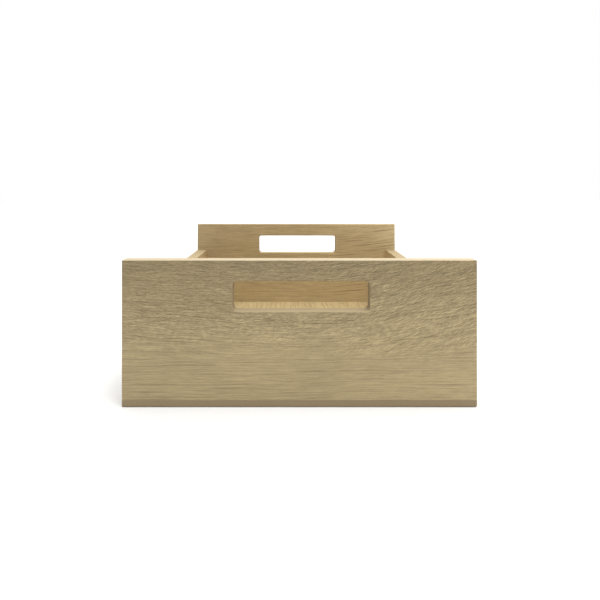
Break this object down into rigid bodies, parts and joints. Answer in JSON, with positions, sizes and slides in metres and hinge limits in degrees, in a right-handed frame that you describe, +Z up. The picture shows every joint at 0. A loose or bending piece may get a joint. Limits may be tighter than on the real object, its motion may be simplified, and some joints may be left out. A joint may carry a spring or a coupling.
{
  "type": "open wooden case",
  "caption": "Open square wooden case with tall end panels, each cut with a hand slot, lower side panels, hidden dowel joints and a screwed-on base board.",
  "frame": {"origin": "centre of the case's underside, on the surface that the case stands on", "axes": "+Z up; +X to the right, seen from the front; the front panel's outer face points along -Y"},
  "size_m": [0.3, 0.3, 0.124],
  "materials": {
    "end_oak": "oiled matt oak, quarter to rift sawn",
    "side_oak": "oiled matt oak",
    "base_oak": "pale matt oak, grain running front to back",
    "dowel_beech": "bare fluted beech",
    "screw_steel": "bright zinc plating"
  },
  "bodies": {
    "root": {"front_panel": "end_oak", "back_panel": "end_oak", "left_side_panel": "side_oak", "right_side_panel": "side_oak", "base_board": "base_oak", "dowel_front_left_lower": "dowel_beech", "dowel_front_left_upper": "dowel_beech", "dowel_front_right_lower": "dowel_beech", "dowel_front_right_upper": "dowel_beech", "dowel_back_left_lower": "dowel_beech", "dowel_back_left_upper": "dowel_beech", "dowel_back_right_lower": "dowel_beech", "dowel_back_right_upper": "dowel_beech", "base_screw_front_left": "screw_steel", "base_screw_front_middle": "screw_steel", "base_screw_front_right": "screw_steel", "base_screw_back_left": "screw_steel", "base_screw_back_middle": "screw_steel", "base_screw_back_right": "screw_steel", "base_screw_left_side_front": "screw_steel", "base_screw_left_side_back": "screw_steel", "base_screw_right_side_front": "screw_steel", "base_screw_right_side_back": "screw_steel"}
  },
  "joints": []
}
